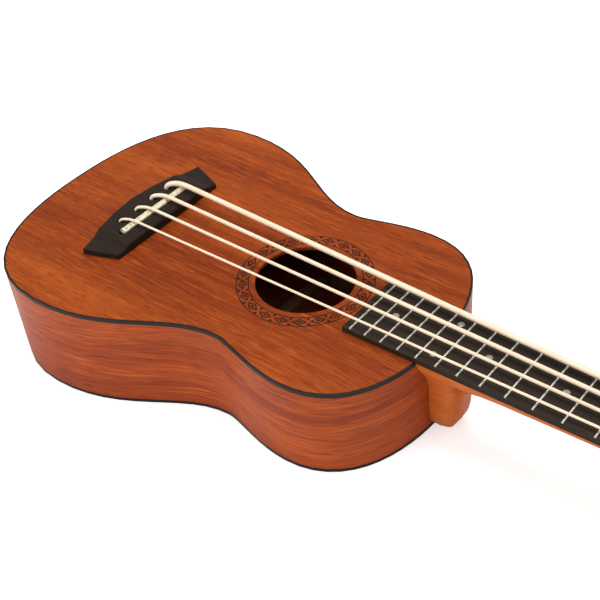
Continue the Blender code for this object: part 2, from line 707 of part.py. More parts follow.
def make_jack():
    """Output jack through the tail block, shaped outside as the strap button."""
    end = JACK_SEAT_X - JACK_PROUD
    inside = JACK_SEAT_X + SIDE_THICK + TAIL_BLOCK_LONG + JACK_INSIDE
    seat = JACK_SEAT_X - GAP
    profile = [(end, JACK_FLANGE_RADIUS), (end + JACK_FLANGE_THICK, JACK_FLANGE_RADIUS),
               (end + 2 * JACK_FLANGE_THICK, JACK_WAIST_RADIUS),
               (seat - JACK_FLANGE_THICK, JACK_WAIST_RADIUS),
               (seat, JACK_FLANGE_RADIUS), (seat + 0.01 * MM, JACK_RADIUS), (inside, JACK_RADIUS)]
    jack = piece("output_jack", turned(profile, 24, "X"), "tuner_metal", location=(0, 0, JACK_Z))
    bore = turned([(end - JACK_FLANGE_THICK, JACK_BORE), (end + JACK_BORE_DEEP, JACK_BORE)], 16, "X")
    combine(jack, cutter("cut_jack_bore", bore, location=(0, 0, JACK_Z)))


def make_fretboard():
    """Tapered board with blind fret slots."""
    points = [(BOARD_END_X, -board_half(BOARD_END_X)), (NUT_X - GAP, -board_half(NUT_X)),
              (NUT_X - GAP, board_half(NUT_X)), (BOARD_END_X, board_half(BOARD_END_X))]
    board = piece("fretboard", prism(points, GAP, BOARD_TOP_Z), "black_wood")
    slots = bmesh.new()
    for number in range(1, FRET_COUNT + 1):
        x = fret_x(number)
        half = board_half(x) - FRET_INSET + FRET_SLOT_SPARE
        wide = FRET_TANG_WIDE / 2 + FRET_SLOT_SPARE
        low = BOARD_TOP_Z - FRET_TANG_DEEP - FRET_SLOT_SPARE
        slot = box((x - wide, -half, low), (x + wide, half, BOARD_TOP_Z + FRET_HIGH))
        temporary = bpy.data.meshes.new("slot")
        slot.to_mesh(temporary)
        slot.free()
        slots.from_mesh(temporary)
        bpy.data.meshes.remove(temporary)
    combine(board, cutter("cut_fret_slots", slots))


def make_frets():
    """Frets with a rounded crown, a tang in the slot and bevelled ends."""
    half = FRET_WIDE / 2
    tang = FRET_TANG_WIDE / 2
    base = BOARD_TOP_Z + 0.1 * MM
    crown = [(half, 0.0), (half * 0.86, 0.55), (half * 0.42, 0.92), (-half * 0.42, 0.92),
             (-half * 0.86, 0.55), (-half, 0.0)]
    for number in range(1, FRET_COUNT + 1):
        x = fret_x(number)
        reach = board_half(x) - FRET_INSET
        rings = []
        for y, drop, draw in ((-reach, 0.35, 1), (-reach + FRET_END_BEVEL, 1.0, 1),
                              (reach - FRET_END_BEVEL, 1.0, 1), (reach, 0.35, 1)):
            ring = [(x + dx * draw, y, base + share * drop * FRET_HIGH) for dx, share in crown]
            ring += [(x - tang, y, base), (x - tang, y, BOARD_TOP_Z - FRET_TANG_DEEP),
                     (x + tang, y, BOARD_TOP_Z - FRET_TANG_DEEP), (x + tang, y, base)]
            rings.append(ring)
        piece("fret_%02d" % number, loft(rings), "fret_metal")


def string_y(index, x):
    """Sideways place of a string between saddle and nut."""
    share = (x - SADDLE_X) / (NUT_X - SADDLE_X)
    return (1.5 - index) * (STRING_PITCH_SADDLE + share * (STRING_PITCH_NUT - STRING_PITCH_SADDLE))


def make_nut():
    """Bone nut with a slot for each string."""
    half = board_half(NUT_X)
    points = [(NUT_X, -half), (NUT_X + NUT_THICK, -half), (NUT_X + NUT_THICK, half), (NUT_X, half)]
    nut = piece("nut", prism(points, GAP, NUT_TOP_Z), "bone")
    for index, radius in enumerate(STRING_RADII):
        y = string_y(index, NUT_X)
        centre = STRING_BOTTOM_NUT + radius
        groove = radius + STRING_GAP
        slot = [(x * groove, z * groove) for x, z in circle(1.0, 12, (0, 0), math.pi / 12) if z < 0.1]
        slot = sorted(slot, key=lambda p: p[0])
        slot = [(slot[0][0], 4 * groove)] + slot + [(slot[-1][0], 4 * groove)]
        rings = [[(x, y + a, centre + b) for a, b in slot]
                 for x in (NUT_X - NUT_THICK, NUT_X + 2 * NUT_THICK)]
        combine(nut, cutter("cut_nut_slot_%d" % (index + 1), loft(rings)))


def neck_ring(x, half, shaft_depth, depth, keel, power=HEEL_POWER, shaft_power=SHAFT_POWER, frame=None):
    """One section of the neck: a shallow shaft blended with a deeper, narrower keel."""
    side_points = []
    for share in SECTION_DEPTHS:
        down = share * depth
        shaft = 0.0
        if down < shaft_depth:
            shaft = half * (1 - (down / shaft_depth) ** shaft_power) ** (1 / shaft_power)
        column = keel * max(0.0, 1 - share ** power) ** (1 / power)
        across = (shaft ** HEEL_BLEND + column ** HEEL_BLEND) ** (1 / HEEL_BLEND)
        side_points.append((min(across, half), -down))
    ring = [(x, -across, z) for across, z in side_points]
    ring += [(x, across, z) for across, z in reversed(side_points[:-1])]
    if frame is not None:
        ring = [tuple(frame @ Vector(point)) for point in ring]
    return ring


def heel_rings():
    """Sections of the heel: full depth at the body, then a rounded front face."""
    front = ((16.0, 1.0, 1.0), (18.5, 0.972, 0.97), (20.5, 0.925, 0.89), (22.0, 0.86, 0.76),
             (23.0, 0.77, 0.62),
             (23.6, 0.66, 0.53), (24.6, 0.57, 0.54), (27.0, 0.485, 0.66), (31.0, 0.41, 0.85))
    rings = [neck_ring(x, board_half(x), FLARE_DEPTH, HEEL_DEPTH, HEEL_HALF, shaft_power=FLARE_POWER)
             for x in (FRONT_X - NECK_JOINT_OVERLAP, FRONT_X + NECK_JOINT_OVERLAP)]
    first_x, last_x = front[0][0], front[-1][0]
    for x_mm, depth_share, keel_share in front:
        x = x_mm * MM
        share = (x_mm - first_x) / (last_x - first_x)
        shaft_depth = FLARE_DEPTH + share * (SHAFT_DEPTH_HEEL - FLARE_DEPTH)
        shaft_power = FLARE_POWER + share * (SHAFT_POWER - FLARE_POWER)
        rings.append(neck_ring(x, board_half(x), shaft_depth, HEEL_DEPTH * depth_share,
                               HEEL_HALF * keel_share, power=5.0, shaft_power=shaft_power))
    return rings


def shaft_rings():
    """Sections of the shaft from the heel's throat to the nut."""
    rings = []
    for x_mm, depth in ((38.0, 23.0), (48.0, 19.2), (62.0, 17.2), (85.0, 16.0), (130.0, 13.6), (190.0, 12.6),
                        (NUT_X / MM, SHAFT_DEPTH_NUT / MM)):
        x = x_mm * MM
        rings.append(neck_ring(x, board_half(x), depth * MM, depth * MM, 0.0))
    return rings


def head_rings():
    """Sections of the headstock, square to its own slanted face."""
    frame = Matrix.Translation((HEAD_START_X, 0, 0)) @ Matrix.Rotation(HEAD_TILT, 4, "Y")
    rings = []
    for x_mm, half, depth, power in ((0.0, 22.2 * MM, 12.3 * MM, 2.6), (8.0, 23.5 * MM, 13.4 * MM, 3.6),
                                     (17.0, 27.5 * MM, 14.5 * MM, 6.0), (27.0, 32.0 * MM, HEAD_THICK, 10.0),
                                     (36.0, HEAD_HALF, HEAD_THICK, 12.0),
                                     (118.0, HEAD_HALF - 1.5 * MM, HEAD_THICK, 12.0),
                                     (136.0, HEAD_HALF - 3.5 * MM, HEAD_THICK, 12.0),
                                     (HEAD_LONG / MM, HEAD_END_HALF, HEAD_THICK, 12.0)):
        rings.append(neck_ring(x_mm * MM, half, depth, depth, 0.0, shaft_power=power, frame=frame))
    return rings


def make_neck():
    """Neck, heel and headstock in one piece of wood, trimmed to the body's front."""
    neck = piece("neck", loft(heel_rings() + shaft_rings() + head_rings()), "neck_wood", smooth_angle=50.0)
    body = prism(ring_outline(-GAP), -2 * DEPTH_TAIL, DEPTH_TAIL)
    combine(neck, cutter("cut_body_from_neck", body))
    for index, (x, side) in enumerate(TUNER_POSTS):
        hole = prism(circle(BARREL_RADIUS + GAP, 16), -2 * HEAD_THICK, HEAD_THICK)
        place = (x, side * POST_Y, 0)
        combine(neck, cutter("cut_tuner_hole_%d" % (index + 1), hole, HEAD_FRAME, place))


def wheel_outline():
    """The worm wheel's toothed edge; a gap faces +x."""
    points = []
    for tooth in range(WHEEL_TEETH):
        middle = 2 * math.pi * (tooth + 0.5) / WHEEL_TEETH
        for radius, width, sign in ((WHEEL_ROOT, WHEEL_TOOTH_ROOT, -1), (WHEEL_TIP, WHEEL_TOOTH_TIP, -1),
                                    (WHEEL_TIP, WHEEL_TOOTH_TIP, 1), (WHEEL_ROOT, WHEEL_TOOTH_ROOT, 1)):
            angle = middle + sign * width / 2 / radius
            points.append((radius * math.cos(angle), radius * math.sin(angle)))
    return points


def make_post(number, x, side):
    """String post that turns in its barrel, with the worm wheel on its lower end."""
    wheel_low = WORM_Z - WHEEL_THICK / 2
    wheel_high = WORM_Z + WHEEL_THICK / 2
    profile = [(wheel_low - POST_SCREW_HIGH, POST_SCREW_RADIUS * 0.8),
               (wheel_low - POST_SCREW_HIGH / 2, POST_SCREW_RADIUS),
               (wheel_low + 0.2 * MM, POST_SCREW_RADIUS), (wheel_high, POST_RADIUS * 0.85),
               (PLATE_LOW_Z - GAP, POST_RADIUS * 0.85), (PLATE_LOW_Z, POST_RADIUS),
               (WAIST_LOW_Z - 0.8 * MM, POST_RADIUS),
               (WAIST_LOW_Z, POST_WAIST_RADIUS), (WAIST_HIGH_Z, POST_WAIST_RADIUS),
               (WAIST_HIGH_Z + 0.8 * MM, POST_CAP_RADIUS),
               (POST_TOP_Z - 0.7 * MM, POST_CAP_RADIUS), (POST_TOP_Z, POST_CAP_RADIUS - 0.9 * MM)]
    post = piece("tuner_post_%d" % number, turned(profile, 20), "tuner_metal", HEAD_FRAME,
                 (x, side * POST_Y, 0))
    wheel = cutter("join_wheel_%d" % number, prism(wheel_outline(), wheel_low, wheel_high), HEAD_FRAME,
                   (x, side * POST_Y, 0))
    combine(post, wheel, "UNION")
    eye = turned([(-2 * POST_RADIUS, 1.6 * MM), (2 * POST_RADIUS, 1.6 * MM)], 10, "X")
    place = (x, side * POST_Y, WAIST_HIGH_Z - 2.4 * MM)
    combine(post, cutter("cut_post_eye_%d" % number, eye, HEAD_FRAME, place))


def worm_shape():
    """A single thread on a core, its axis along y, with a crest facing -x at y = 0."""
    shape = bmesh.new()
    length = WORM_TURNS * WORM_PITCH
    columns = []
    for step in range(WORM_STEPS):
        angle = 2 * math.pi * step / WORM_STEPS
        rise = WORM_PITCH * step / WORM_STEPS - length / 2
        column = []
        for turn in range(WORM_TURNS):
            for offset, radius in ((-WORM_THREAD_ROOT / 2, WORM_ROOT), (-WORM_THREAD_TIP / 2, WORM_TIP),
                                   (WORM_THREAD_TIP / 2, WORM_TIP), (WORM_THREAD_ROOT / 2, WORM_ROOT)):
                along = rise + turn * WORM_PITCH + offset
                column.append(shape.verts.new((radius * math.cos(angle), along, -radius * math.sin(angle))))
        columns.append(column)
    rows = len(columns[0])
    for step in range(WORM_STEPS - 1):
        first, second = columns[step], columns[step + 1]
        for row in range(rows - 1):
            shape.faces.new((first[row], first[row + 1], second[row + 1], second[row]))
    last, start = columns[-1], columns[0]
    for row in range(rows - 4 - 1):
        shape.faces.new((last[row], last[row + 1], start[row + 5], start[row + 4]))
    low_tip = shape.verts.new((0, -length / 2 - WORM_THREAD_ROOT, 0))
    low_edge = [column[0] for column in columns] + [start[4], start[3], start[2], start[1]]
    for index in range(len(low_edge)):
        shape.faces.new((low_tip, low_edge[index], low_edge[(index + 1) % len(low_edge)]))
    high_tip = shape.verts.new((0, length / 2 + WORM_THREAD_ROOT, 0))
    high_edge = [column[-1] for column in columns] + [last[-2], last[-3], last[-4], last[-5]]
    for index in range(len(high_edge)):
        shape.faces.new((high_tip, high_edge[index], high_edge[(index + 1) % len(high_edge)]))
    return shape


def button_shape(side):
    """Flattened button lofted along the shaft."""
    rings = []
    for share, wide, thick in ((0.0, 0.3, 0.75), (0.1, 0.6, 0.95), (0.3, 0.92, 1.0), (0.55, 1.0, 1.0),
                               (0.8, 0.88, 0.95), (0.95, 0.6, 0.7), (1.0, 0.35, 0.4)):
        y = side * (BUTTON_START_Y + share * BUTTON_LONG)
        rings.append([(a * wide * BUTTON_HALF_WIDE, y, b * thick * BUTTON_HALF_THICK)
                      for a, b in circle(1.0, 14)])
    return loft(rings)


def make_key(number, x, side):
    """Button and worm on one shaft, held between the two lugs."""
    inner_end = -(LUG_INNER_Y + LUG_THICK + 1.0 * MM)
    lug_clear = LUG_INNER_Y - GAP
    neck = BUTTON_START_Y - 3.0 * MM
    profile = [(inner_end, SHAFT_RADIUS), (-lug_clear, SHAFT_RADIUS),
               (-lug_clear + 0.01 * MM, COLLAR_RADIUS),
               (-lug_clear + COLLAR_LONG, COLLAR_RADIUS),
               (-lug_clear + COLLAR_LONG + 0.01 * MM, SHAFT_RADIUS),
               (lug_clear - COLLAR_LONG - 0.01 * MM, SHAFT_RADIUS), (lug_clear - COLLAR_LONG, COLLAR_RADIUS),
               (lug_clear - 0.01 * MM, COLLAR_RADIUS), (lug_clear, SHAFT_RADIUS), (neck, SHAFT_RADIUS),
               (neck + 0.6 * MM, COLLAR_RADIUS), (BUTTON_START_Y + 2.0 * MM, COLLAR_RADIUS)]
    place = (x + WORM_OFFSET, side * POST_Y, WORM_Z)
    shaft = turned([(side * along, radius) for along, radius in profile], 12, "Y")
    key = piece("tuner_key_%d" % number, shaft, "tuner_metal", HEAD_FRAME, place)
    combine(key, cutter("join_worm_%d" % number, worm_shape(), HEAD_FRAME, place), "UNION")
    combine(key, cutter("join_button_%d" % number, button_shape(side), HEAD_FRAME, place), "UNION")


def make_frame(number, x, side):
    """Plate on the back of the headstock with a barrel for the post and two lugs for the worm shaft."""
    plate = box((-PLATE_REAR, -PLATE_HALF, PLATE_LOW_Z), (PLATE_FRONT, PLATE_HALF, PLATE_TOP_Z))
    place = (x, side * POST_Y, 0)
    frame = piece("tuner_frame_%d" % number, plate, "tuner_metal", HEAD_FRAME, place)
    for word, inner in (("inner", -1), ("outer", 1)):
        low_y, high_y = sorted((inner * LUG_INNER_Y, inner * (LUG_INNER_Y + LUG_THICK)))
        lug = box((WORM_OFFSET - LUG_HALF, low_y, LUG_LOW_Z),
                  (WORM_OFFSET + LUG_HALF, high_y, PLATE_LOW_Z + PLATE_THICK / 2))
        combine(frame, cutter("join_lug_%s_%d" % (word, number), lug, HEAD_FRAME, place), "UNION")
    barrel = prism(circle(BARREL_RADIUS, 16), PLATE_LOW_Z + PLATE_THICK / 2, BARREL_TOP_Z)
    combine(frame, cutter("join_barrel_%d" % number, barrel, HEAD_FRAME, place), "UNION")
    bore = prism(circle(BORE_RADIUS, 20), 2 * LUG_LOW_Z, 2 * POST_TOP_Z)
    combine(frame, cutter("cut_barrel_bore_%d" % number, bore, HEAD_FRAME, place))
    reach = LUG_INNER_Y + 2 * LUG_THICK
    shaft_hole = turned([(-reach, SHAFT_RADIUS + RUNNING_GAP), (reach, SHAFT_RADIUS + RUNNING_GAP)], 12, "Y")
    where = (x + WORM_OFFSET, side * POST_Y, WORM_Z)
    combine(frame, cutter("cut_shaft_hole_%d" % number, shaft_hole, HEAD_FRAME, where))


def make_bushing(number, x, side):
    """Nut with a flange that draws the barrel tight on the face of the headstock."""
    place = (x, side * POST_Y, 0)
    flats = circle(BUSHING_FLATS / math.cos(math.pi / 6), 6)
    nut = prism(flats, GAP + BUSHING_FLANGE_HIGH / 2, BUSHING_HIGH)
    bushing = piece("tuner_bushing_%d" % number, nut, "tuner_metal", HEAD_FRAME, place)
    flange = prism(circle(BUSHING_FLANGE_RADIUS, 24), GAP, GAP + BUSHING_FLANGE_HIGH)
    combine(bushing, cutter("join_flange_%d" % number, flange, HEAD_FRAME, place), "UNION")
    bore = prism(circle(BARREL_RADIUS + GAP, 16), -BUSHING_HIGH, 2 * BUSHING_HIGH)
    combine(bushing, cutter("cut_bushing_%d" % number, bore, HEAD_FRAME, place))


def least_gap_to_itself(path, radius, skip):
    """Smallest distance between the skins of stretches at least skip points apart."""
    gaps = []
    for index, point in enumerate(path):
        for other in path[index + int(skip):]:
            gaps.append((point - other).length - 2 * radius)
    return min(gaps)


def string_path(index):
    """The whole way of one string: knot, bridge hole, saddle, nut, then its turns up the post."""
    radius = STRING_RADII[index]
    hole_y = string_hole_y(index)
    saddle_y = string_y(index, SADDLE_X)
    crown = STRING_BOTTOM_SADDLE + radius
    lower = [(STRING_HOLE_X, hole_y, -TOP_THICK - BRIDGE_PLATE_THICK),
             (STRING_HOLE_X, hole_y, BRIDGE_WING_Z - 1.5 * MM),
             (STRING_HOLE_X + 1.6 * MM, hole_y + 0.4 * MM, crown - 1.5 * MM),
             (SADDLE_X - 2.5 * MM, saddle_y - 0.6 * MM, crown + 0.3 * MM),
             (SADDLE_X + 9 * MM, saddle_y, crown)]
    path = smooth_path(lower)
    nut_y = string_y(index, NUT_X)
    nut_z = STRING_BOTTOM_NUT + radius
    path += [Vector((NUT_X - 6 * MM, nut_y, nut_z + 0.05 * MM)),
             Vector((NUT_X + NUT_THICK + 2 * GAP, nut_y, nut_z))]
    post_x, side = TUNER_POSTS[index]
    frame = Matrix.Translation((HEAD_START_X, 0, 0)) @ Matrix.Rotation(HEAD_TILT, 4, "Y")
    loop_radius = POST_WAIST_RADIUS + STRING_GAP + radius
    start_z = WAIST_LOW_Z + radius + STRING_GAP
    pitch = 2 * radius + WRAP_SPACE
    leave = frame.inverted() @ path[-1]
    centre = Vector((post_x, side * POST_Y, 0))
    away = Vector((centre.x - leave.x, centre.y - leave.y))
    tangent_turn = math.acos(loop_radius / away.length)
    first_angle = math.atan2(-away.y, -away.x) + side * tangent_turn
    steps = round(WRAP_TURNS[index] * LOOP_POINTS)
    for step in range(steps + 1):
        angle = first_angle + side * 2 * math.pi * step / LOOP_POINTS
        height = start_z + pitch * step / LOOP_POINTS
        point = Vector((centre.x + loop_radius * math.cos(angle),
                        centre.y + loop_radius * math.sin(angle), height))
        path.append(frame @ point)
    coil = path[-steps - 1:]
    gap = least_gap_to_itself(coil, radius, LOOP_POINTS // 2)
    print("%s: least gap between its turns %.2f mm" % (STRING_NAMES[index], gap / MM))
    return path


def make_strings():
    """Each string is one tube that starts in a knot under the bridge plate."""
    plate_low = -TOP_THICK - GAP - BRIDGE_PLATE_THICK
    for index, radius in enumerate(STRING_RADII):
        path = string_path(index)
        knot = radius + STRING_HOLE_SPARE + KNOT_RADIUS_SPARE
        x, y = STRING_HOLE_X, string_hole_y(index)
        top = plate_low - GAP
        knot_path = [Vector((x, y, top - KNOT_LONG)), Vector((x, y, top - 0.8 * KNOT_LONG)),
                     Vector((x, y, top - 0.2 * KNOT_LONG)), Vector((x, y, top)),
                     Vector((x, y, top + 0.01 * MM))]
        radii = [0.5 * knot, knot, knot, 0.8 * knot, radius] + [radius] * (len(path) - 1)
        piece(STRING_NAMES[index], tube(knot_path + path[1:], radii, STRING_SIDES), "string")


def make_tuners():
    """Four tuners, in the order of the strings."""
    for index, (x, side) in enumerate(TUNER_POSTS):
        make_frame(index + 1, x, side)
        make_bushing(index + 1, x, side)
        make_post(index + 1, x, side)
        make_key(index + 1, x, side)


board = make_plates()
make_bindings()
make_sides()
make_linings()
make_blocks()
make_braces()
make_bridge(board)
make_saddle()
make_pickup()
make_jack()
make_fretboard()
make_frets()
make_nut()
make_neck()
make_strings()
make_tuners()

back_point = Vector((BACK_CENTRE_X, 0, back_plane(BACK_CENTRE_X)))
tip = Euler((0, TAPER_ANGLE, 0)).to_matrix()
INSTRUMENT.rotation_euler = (0, TAPER_ANGLE, 0)
INSTRUMENT.location = -(tip @ back_point)
bpy.context.view_layer.update()
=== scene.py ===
# %% [markdown]
# # A bass ukulele
# The solid parts come in finished shape. This lesson gives them their woods, bone, metal and strings,
# adds the small inlays and screws, and sets the camera and a soft studio light.

# %% Load the solid parts
import json
import math

import bpy
from mathutils import Matrix, Vector


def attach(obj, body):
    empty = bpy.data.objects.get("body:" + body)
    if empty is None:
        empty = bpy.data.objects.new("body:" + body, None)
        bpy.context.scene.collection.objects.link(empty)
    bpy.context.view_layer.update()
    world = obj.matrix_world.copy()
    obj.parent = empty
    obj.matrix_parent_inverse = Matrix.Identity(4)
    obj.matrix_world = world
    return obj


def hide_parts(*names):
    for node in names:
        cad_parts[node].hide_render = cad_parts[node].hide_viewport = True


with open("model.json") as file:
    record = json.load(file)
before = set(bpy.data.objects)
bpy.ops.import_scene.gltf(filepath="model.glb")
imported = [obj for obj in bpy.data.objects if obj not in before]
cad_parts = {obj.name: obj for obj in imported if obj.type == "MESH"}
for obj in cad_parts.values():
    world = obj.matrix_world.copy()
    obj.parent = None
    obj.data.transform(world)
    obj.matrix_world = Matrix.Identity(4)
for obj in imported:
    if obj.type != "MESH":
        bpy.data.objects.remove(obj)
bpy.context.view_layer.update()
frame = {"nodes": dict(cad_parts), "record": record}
MM = 0.001
BODY = "instrument"
print("solid parts:", len(frame["nodes"]))

# %% [markdown]
# The body is deeper at the tail, so the soundboard slopes a little while the back lies flat. Sizes along
# the strings are easier to write in a frame that lies on the soundboard, so two matrices turn that frame,
# and the one on the slanted headstock, into the frame of the solid parts.

# %% Two drawing frames
DEPTH_NECK = 76.0 * MM
DEPTH_TAIL = 90.5 * MM
BODY_LONG = 363.0 * MM
BACK_CENTRE_X = -180.0 * MM
HOLE_X = -115.0 * MM
TAPER = math.atan((DEPTH_TAIL - DEPTH_NECK) / BODY_LONG)
HEAD_TILT = math.radians(11.0)
HEAD_START_X = 263.5 * MM
back_point = Vector((BACK_CENTRE_X, 0, -DEPTH_NECK + (DEPTH_TAIL - DEPTH_NECK) * BACK_CENTRE_X / BODY_LONG))
BOARD_FRAME = Matrix.Rotation(TAPER, 4, "Y") @ Matrix.Translation(-back_point)
HEAD_FRAME = BOARD_FRAME @ Matrix.Translation((HEAD_START_X, 0, 0)) @ Matrix.Rotation(HEAD_TILT, 4, "Y")
HOLE_CENTRE = BOARD_FRAME @ Vector((HOLE_X, 0, 0))
print("sound hole centre:", [round(value, 4) for value in HOLE_CENTRE])

# %% [markdown]
# ## Writing materials as sums
# Shader networks are easier to read as formulas. `Value` wraps a socket, so that `a * 2 + b` adds the
# Math nodes for us, and `Finish.node` adds any other node with its settings and its inputs.

# %% A small language for shader nodes


class Value:
    """A number that varies over the surface."""

    def __init__(self, finish, socket):
        self.finish = finish
        self.socket = socket

    def math(self, operation, *others, swap=False):
        """One Math node on this value and others."""
        values = [self, *others]
        if swap:
            values.reverse()
        inputs = dict(enumerate(values))
        return self.finish.node("ShaderNodeMath", {"operation": operation}, inputs)

    def __add__(self, other):
        return self.math("ADD", other)

    def __sub__(self, other):
        return self.math("SUBTRACT", other)

    def __rsub__(self, other):
        return self.math("SUBTRACT", other, swap=True)

    def __mul__(self, other):
        return self.math("MULTIPLY", other)

    def __lt__(self, other):
        return self.math("LESS_THAN", other)

    def __gt__(self, other):
        return self.math("GREATER_THAN", other)

    def __abs__(self):
        return self.math("ABSOLUTE")


class Finish:
    """A material under construction."""

    def __init__(self, name, roughness, metallic=0.0, coat=0.0, specular=0.5):
        self.material = bpy.data.materials.new(name)
        self.material.use_nodes = True
        self.tree = self.material.node_tree
        self.shader = self.tree.nodes["Principled BSDF"]
        self.shader.inputs["Roughness"].default_value = roughness
        self.shader.inputs["Metallic"].default_value = metallic
        self.shader.inputs["Coat Weight"].default_value = coat
        self.shader.inputs["Coat Roughness"].default_value = 0.25
        self.shader.inputs["Specular IOR Level"].default_value = specular
        self.place = self.node("ShaderNodeTexCoord", output="Object")

    def node(self, kind, settings=None, inputs=None, output=0):
        """Add a node, set it up, link its inputs and give back one output."""
        made = self.tree.nodes.new(kind)
        for key, value in (settings or {}).items():
            setattr(made, key, value)
        for key, value in (inputs or {}).items():
            if isinstance(value, Value):
                self.tree.links.new(value.socket, made.inputs[key])
            else:
                made.inputs[key].default_value = value
        return Value(self, made.outputs[output])

    def feed(self, name, value):
        """Link a value to the shader."""
        self.tree.links.new(value.socket, self.shader.inputs[name])

    def noise(self, scale, detail=4.0, roughness=0.55, distortion=0.0):
        """Noise stretched by a scale for each axis, in features per metre."""
        spread = self.node("ShaderNodeMapping", None, {"Vector": self.place, "Scale": scale})
        return self.node("ShaderNodeTexNoise", None,
                         {"Vector": spread, "Scale": 1.0, "Detail": detail, "Roughness": roughness,
                          "Distortion": distortion}, "Fac")

    def ramp(self, value, low, high):
        """0 below low, 1 above high, straight between."""
        return self.node("ShaderNodeMapRange", {"clamp": True},
                         {"Value": value, "From Min": low, "From Max": high}, "Result")

    def mix(self, share, first, second):
        """A colour between two colours."""
        return self.node("ShaderNodeMix", {"data_type": "RGBA"}, {0: share, 6: first, 7: second}, 2)

    def bump(self, height, strength, distance):
        """Small relief."""
        relief = self.node("ShaderNodeBump", None,
                           {"Height": height, "Strength": strength, "Distance": distance}, "Normal")
        self.feed("Normal", relief)


def colour(red, green, blue):
    """Linear colour with full alpha."""
    return (red, green, blue, 1.0)


print("shader helpers ready")

# %% [markdown]
# ## Mahogany
# Mahogany has wide soft ribbons, finer streaks and many short open pores, all running with the grain, and a
# figure that ripples across it. Painted glints, pale flecks that stand in for highlights, run with the
# grain too. Each of them is a noise stretched one way. The soundboard and neck run with X. The sides are
# bent strips whose grain follows the outline, so there only height is fine.

# %% Wood recipe
RIBBON = 0.22               # scales of the layers, as shares of the grain's or the pores' own scale
FINE = 4.5
PAINTED_GLINT = 0.45
FIGURE = (6.0, 0.28, 0.28)
PORE_RELIEF = 0.0001        # depth of the pores in the bump, in metres


def scaled(values, factor):
    """Each of some values times a factor."""
    return tuple(factor * value for value in values)


def mahogany(name, dark, middle, light, grain, pores, roughness, specular, pore_depth=0.6):
    """Wood with ribbons, streaks and pores; grain and pores are features per metre."""
    wood = Finish(name, roughness, specular=specular)
    ribbon = wood.noise(scaled(grain, RIBBON), 2.0, 0.5, 0.6)
    streak = wood.noise(grain, 6.0, 0.62, 0.35)
    pore = wood.noise(pores, 2.0, 0.5)
    fine = wood.noise(scaled(grain, FINE), 3.0, 0.6)
    body = wood.mix(wood.ramp(streak, 0.34, 0.66), dark, middle)
    body = wood.mix(wood.ramp(ribbon, 0.4, 0.68) * 0.75, body, light)
    body = wood.mix(wood.ramp(fine, 0.42, 0.68) * 0.35, body, dark)
    figure = wood.noise(tuple(value * share for value, share in zip(grain, FIGURE)), 3.0, 0.6, 0.8)
    body = wood.mix(wood.ramp(figure, 0.45, 0.72) * 0.3, body, dark)
    # painted glints: small flecks brighter than the pale tone, painted in as highlights on the wood
    painted_glint = wood.noise(scaled(pores, PAINTED_GLINT), 3.0, 0.6, 0.3)
    body = wood.mix(wood.ramp(painted_glint, 0.54, 0.66) * 0.42, body, colour(*scaled(light[:3], 1.25)))
    opening = wood.ramp(pore, 0.56, 0.66) * pore_depth
    shade = colour(*scaled(dark[:3], 0.45))
    wood.surface = wood.mix(opening, body, shade)
    wood.feed("Base Color", wood.surface)
    wood.feed("Roughness", wood.ramp(streak, 0.2, 0.8) * 0.12 + (roughness - 0.06))
    wood.bump(1 - opening, 0.25, PORE_RELIEF)
    return wood


TOP = mahogany("mahogany_top", colour(0.19, 0.028, 0.005), colour(0.34, 0.058, 0.007),
               colour(0.46, 0.094, 0.012), (7, 150, 150), (55, 1300, 1300), 0.42, 0.08)
SIDE = mahogany("mahogany_side", colour(0.23, 0.033, 0.01), colour(0.43, 0.07, 0.013),
                colour(0.58, 0.12, 0.022), (6, 6, 130), (45, 45, 1200), 0.36, 0.12)
BACK = mahogany("mahogany_back", colour(0.22, 0.035, 0.015), colour(0.37, 0.07, 0.022),
                colour(0.45, 0.1, 0.035), (7, 170, 170), (55, 1500, 1500), 0.38, 0.3)
NECK = mahogany("mahogany_neck", colour(0.48, 0.095, 0.014), colour(0.62, 0.145, 0.02),
                colour(0.7, 0.19, 0.03), (6, 120, 120), (50, 1400, 1400), 0.38, 0.2, 0.35)
print("mahogany finishes:", TOP.material.name, SIDE.material.name, BACK.material.name, NECK.material.name)

# %% [markdown]
# ## The ornament round the sound hole
# A thin burnt-in ornament rings the hole: a plain chain of lozenges with small wedges between them, inside
# two lines. It is drawn with distance and angle round the hole, so it needs no extra piece on the surface.

# %% Ring of lozenges
RING_INNER = 42.4 * MM
RING_OUTER = 51.4 * MM
RING_MIDDLE = (RING_INNER + RING_OUTER) / 2
LOZENGES = 22
LOZENGE_HIGH = 3.5 * MM
LINE_HALF = 0.45 * MM
INK_SHARE = 0.94
INK = colour(0.02, 0.008, 0.005)


def lozenge_ring(wood):
    """Mask of the ornament on the soundboard."""
    centred = wood.node("ShaderNodeMapping", None, {"Vector": wood.place, "Location": -HOLE_CENTRE})
    split = wood.node("ShaderNodeSeparateXYZ", None, {"Vector": centred}, "X")
    across = Value(wood, split.socket.node.outputs["Y"])
    flat = wood.node("ShaderNodeCombineXYZ", None, {"X": split, "Y": across})
    radius = wood.node("ShaderNodeVectorMath", {"operation": "LENGTH"}, {0: flat}, "Value")
    angle = across.math("ARCTAN2", split) * (LOZENGES / (2 * math.pi))
    along = abs(angle.math("FRACT") - 0.5) * 2
    height = abs(radius - RING_MIDDLE) * (1 / LOZENGE_HIGH)
    reach = along * 1.15 + height
    lozenge = abs(reach - 0.8) < 0.2
    seed = reach < 0.36
    between = abs(abs(angle.math("FRACT") - 0.5) - 0.5) * 2
    wedge = between * 1.9 + abs(height - 0.9) * 0.9 < 0.4
    lines = (abs(radius - RING_INNER) < LINE_HALF) + (abs(radius - RING_OUTER) < LINE_HALF)
    inside = (radius > RING_INNER) * (radius < RING_OUTER)
    return ((lozenge + seed + wedge) * inside + lines).math("MINIMUM", 1.0)


ornament = lozenge_ring(TOP)
TOP.feed("Base Color", TOP.mix(ornament * INK_SHARE, TOP.surface, INK))
print("lozenges round the hole:", LOZENGES)

